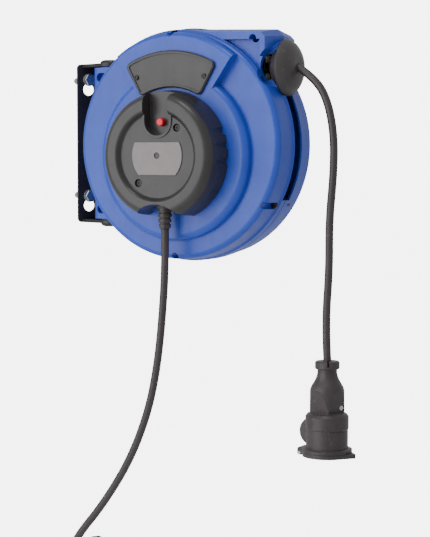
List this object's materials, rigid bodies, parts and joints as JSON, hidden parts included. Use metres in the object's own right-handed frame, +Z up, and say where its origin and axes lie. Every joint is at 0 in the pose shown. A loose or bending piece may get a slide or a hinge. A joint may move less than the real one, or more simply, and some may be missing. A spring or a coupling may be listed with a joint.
{
  "type": "extension cord reel",
  "caption": "Wall-mounted spring-rewound extension cord reel with swivel bracket, two-shell casing, ball stop, supply lead and lidded socket coupling.",
  "frame": {"origin": "middle of the four wall bolts, on the wall plane at the back of the bracket", "axes": "+X out of the wall, +Z up, +Y to the left of someone facing the wall"},
  "size_m": [0.3498, 0.2896, 0.806],
  "materials": {
    "blue_plastic": "satin moulded polypropylene, fine grain",
    "dark_plastic": "satin moulded plastic",
    "black_nylon": "matt",
    "white_nylon": "waxy",
    "red_plastic": "gloss",
    "plate_grey": "printed foil, satin",
    "black_steel": "powder coat",
    "zinc": "zinc plate",
    "steel": "turned",
    "brass": "nickelled brass",
    "carbon": "graphite",
    "ball_rubber": "matt rubber",
    "cable_rubber": "matt rubber"
  },
  "bodies": {
    "wall_bracket": {"wall_bracket": "black_steel", "wall_bolts": "zinc", "wall_washers": "zinc", "pivot_pins": "black_steel"},
    "housing": {"front_shell": "blue_plastic", "back_shell": "blue_plastic", "shell_screws": "zinc", "pivot_bushes": "black_nylon", "front_cover": "dark_plastic", "cover_screws": "zinc", "rating_plate": "plate_grey", "badge_plate": "dark_plastic", "badge_screws": "zinc", "breaker_body": "black_nylon", "brush_holder": "black_nylon", "brushes": "carbon", "terminal_block": "white_nylon", "axle": "steel", "axle_screw": "zinc", "spring_arbor": "steel", "pawl_pin": "steel", "roller_cage": "black_nylon", "roller_pins": "steel", "ball_stop_front": "ball_rubber", "ball_stop_back": "ball_rubber", "ball_screws": "zinc", "inner_lead": "cable_rubber", "output_cable": "cable_rubber", "supply_cable": "cable_rubber", "supply_coil": "cable_rubber", "coil_tie": "black_nylon", "plug_lead": "cable_rubber", "plug_body": "cable_rubber", "plug_pins": "brass", "strain_relief": "cable_rubber", "coupling_nut": "cable_rubber", "coupling_body": "cable_rubber", "coupling_insert": "black_nylon", "coupling_contacts": "brass", "earth_clips": "brass", "lid_hinge_pin": "steel", "coupling_screw": "zinc"},
    "drum": {"drum_core": "black_nylon", "drum_front_flange": "black_nylon", "drum_back_flange": "black_nylon", "drum_screws": "zinc", "drum_bushes": "white_nylon", "wound_cable": "cable_rubber", "ratchet_wheel": "white_nylon", "ratchet_teeth": "white_nylon", "slip_ring_carrier": "black_nylon", "slip_rings": "brass", "spring_cassette": "zinc", "cassette_cover": "zinc", "drive_spring": "steel"},
    "pawl": {"pawl": "steel"},
    "upper_roller": {"upper_roller": "white_nylon"},
    "lower_roller": {"lower_roller": "white_nylon"},
    "reset_button": {"reset_button": "red_plastic"},
    "coupling_lid": {"coupling_lid": "cable_rubber"}
  },
  "joints": [
    {"name": "housing_swivel", "type": "hinge", "parent": "wall_bracket", "child": "housing", "pos_m": [0.04, 0, 0], "axis": [0, 0, 1], "range_deg": [-71, 1]},
    {"name": "drum_spin", "type": "hinge", "parent": "housing", "child": "drum", "pos_m": [0.13748, 0.06826, -0.0215], "axis": [-0.5736, 0.8192, 0], "continuous": true},
    {"name": "pawl_pivot", "type": "hinge", "parent": "housing", "child": "pawl", "pos_m": [0.08219, 0.02954, 0.0175], "axis": [-0.5736, 0.8192, 0], "range_deg": [0, 9.5], "stiffness_Nm_per_rad": 0.08, "springref_deg": -2.86},
    {"name": "upper_roller_spin", "type": "hinge", "parent": "housing", "child": "upper_roller", "pos_m": [0.21612, 0.12332, 0.0925], "axis": [-0.5736, 0.8192, 0], "continuous": true},
    {"name": "lower_roller_spin", "type": "hinge", "parent": "housing", "child": "lower_roller", "pos_m": [0.21612, 0.12332, 0.0675], "axis": [-0.5736, 0.8192, 0], "continuous": true},
    {"name": "reset_press", "type": "slide", "parent": "housing", "child": "reset_button", "axis": [-0.5736, 0.8192, 0], "range_m": [0, 0.003], "stiffness_N_per_m": 400, "springref_m": -0.001},
    {"name": "lid_hinge", "type": "hinge", "parent": "housing", "child": "coupling_lid", "pos_m": [0.25568, 0.15102, -0.3667], "axis": [-0.5736, 0.8192, 0], "range_deg": [0, 110], "stiffness_Nm_per_rad": 0.02, "springref_deg": -34.38}
  ]
}
